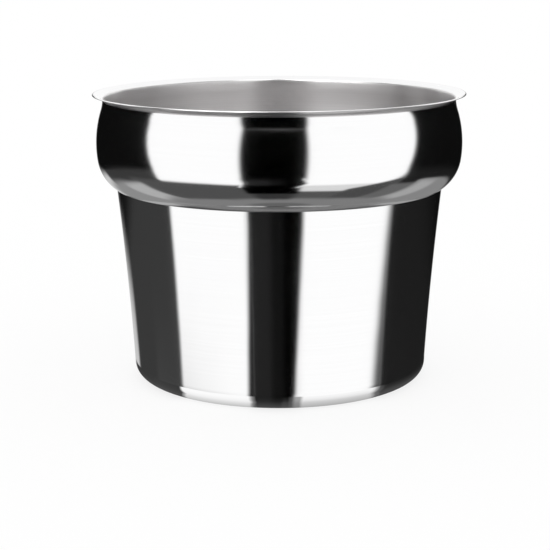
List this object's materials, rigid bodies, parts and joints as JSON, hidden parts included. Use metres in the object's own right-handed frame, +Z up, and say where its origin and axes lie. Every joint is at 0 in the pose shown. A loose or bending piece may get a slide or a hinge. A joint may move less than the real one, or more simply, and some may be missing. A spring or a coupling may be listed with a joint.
{
  "type": "soup kettle inset",
  "caption": "Open polished steel soup kettle inset: a tapered, flat-bottomed vessel with a bulged shoulder collar that seats in a round well, and a flared lip.",
  "frame": {"origin": "centre of the flat base, on the surface that the vessel stands on", "axes": "+Z up along the vessel's axis, from the base to the open mouth"},
  "size_m": [0.29, 0.29, 0.2247],
  "materials": {
    "body_steel": "mirror-polished stainless steel outside, satin brushed inside",
    "collar_steel": "mirror-polished stainless steel outside, satin brushed inside",
    "weld_metal": "weld ground smooth"
  },
  "bodies": {
    "root": {"tapered_body": "body_steel", "shoulder_collar": "collar_steel", "seam_weld": "weld_metal"}
  },
  "joints": []
}
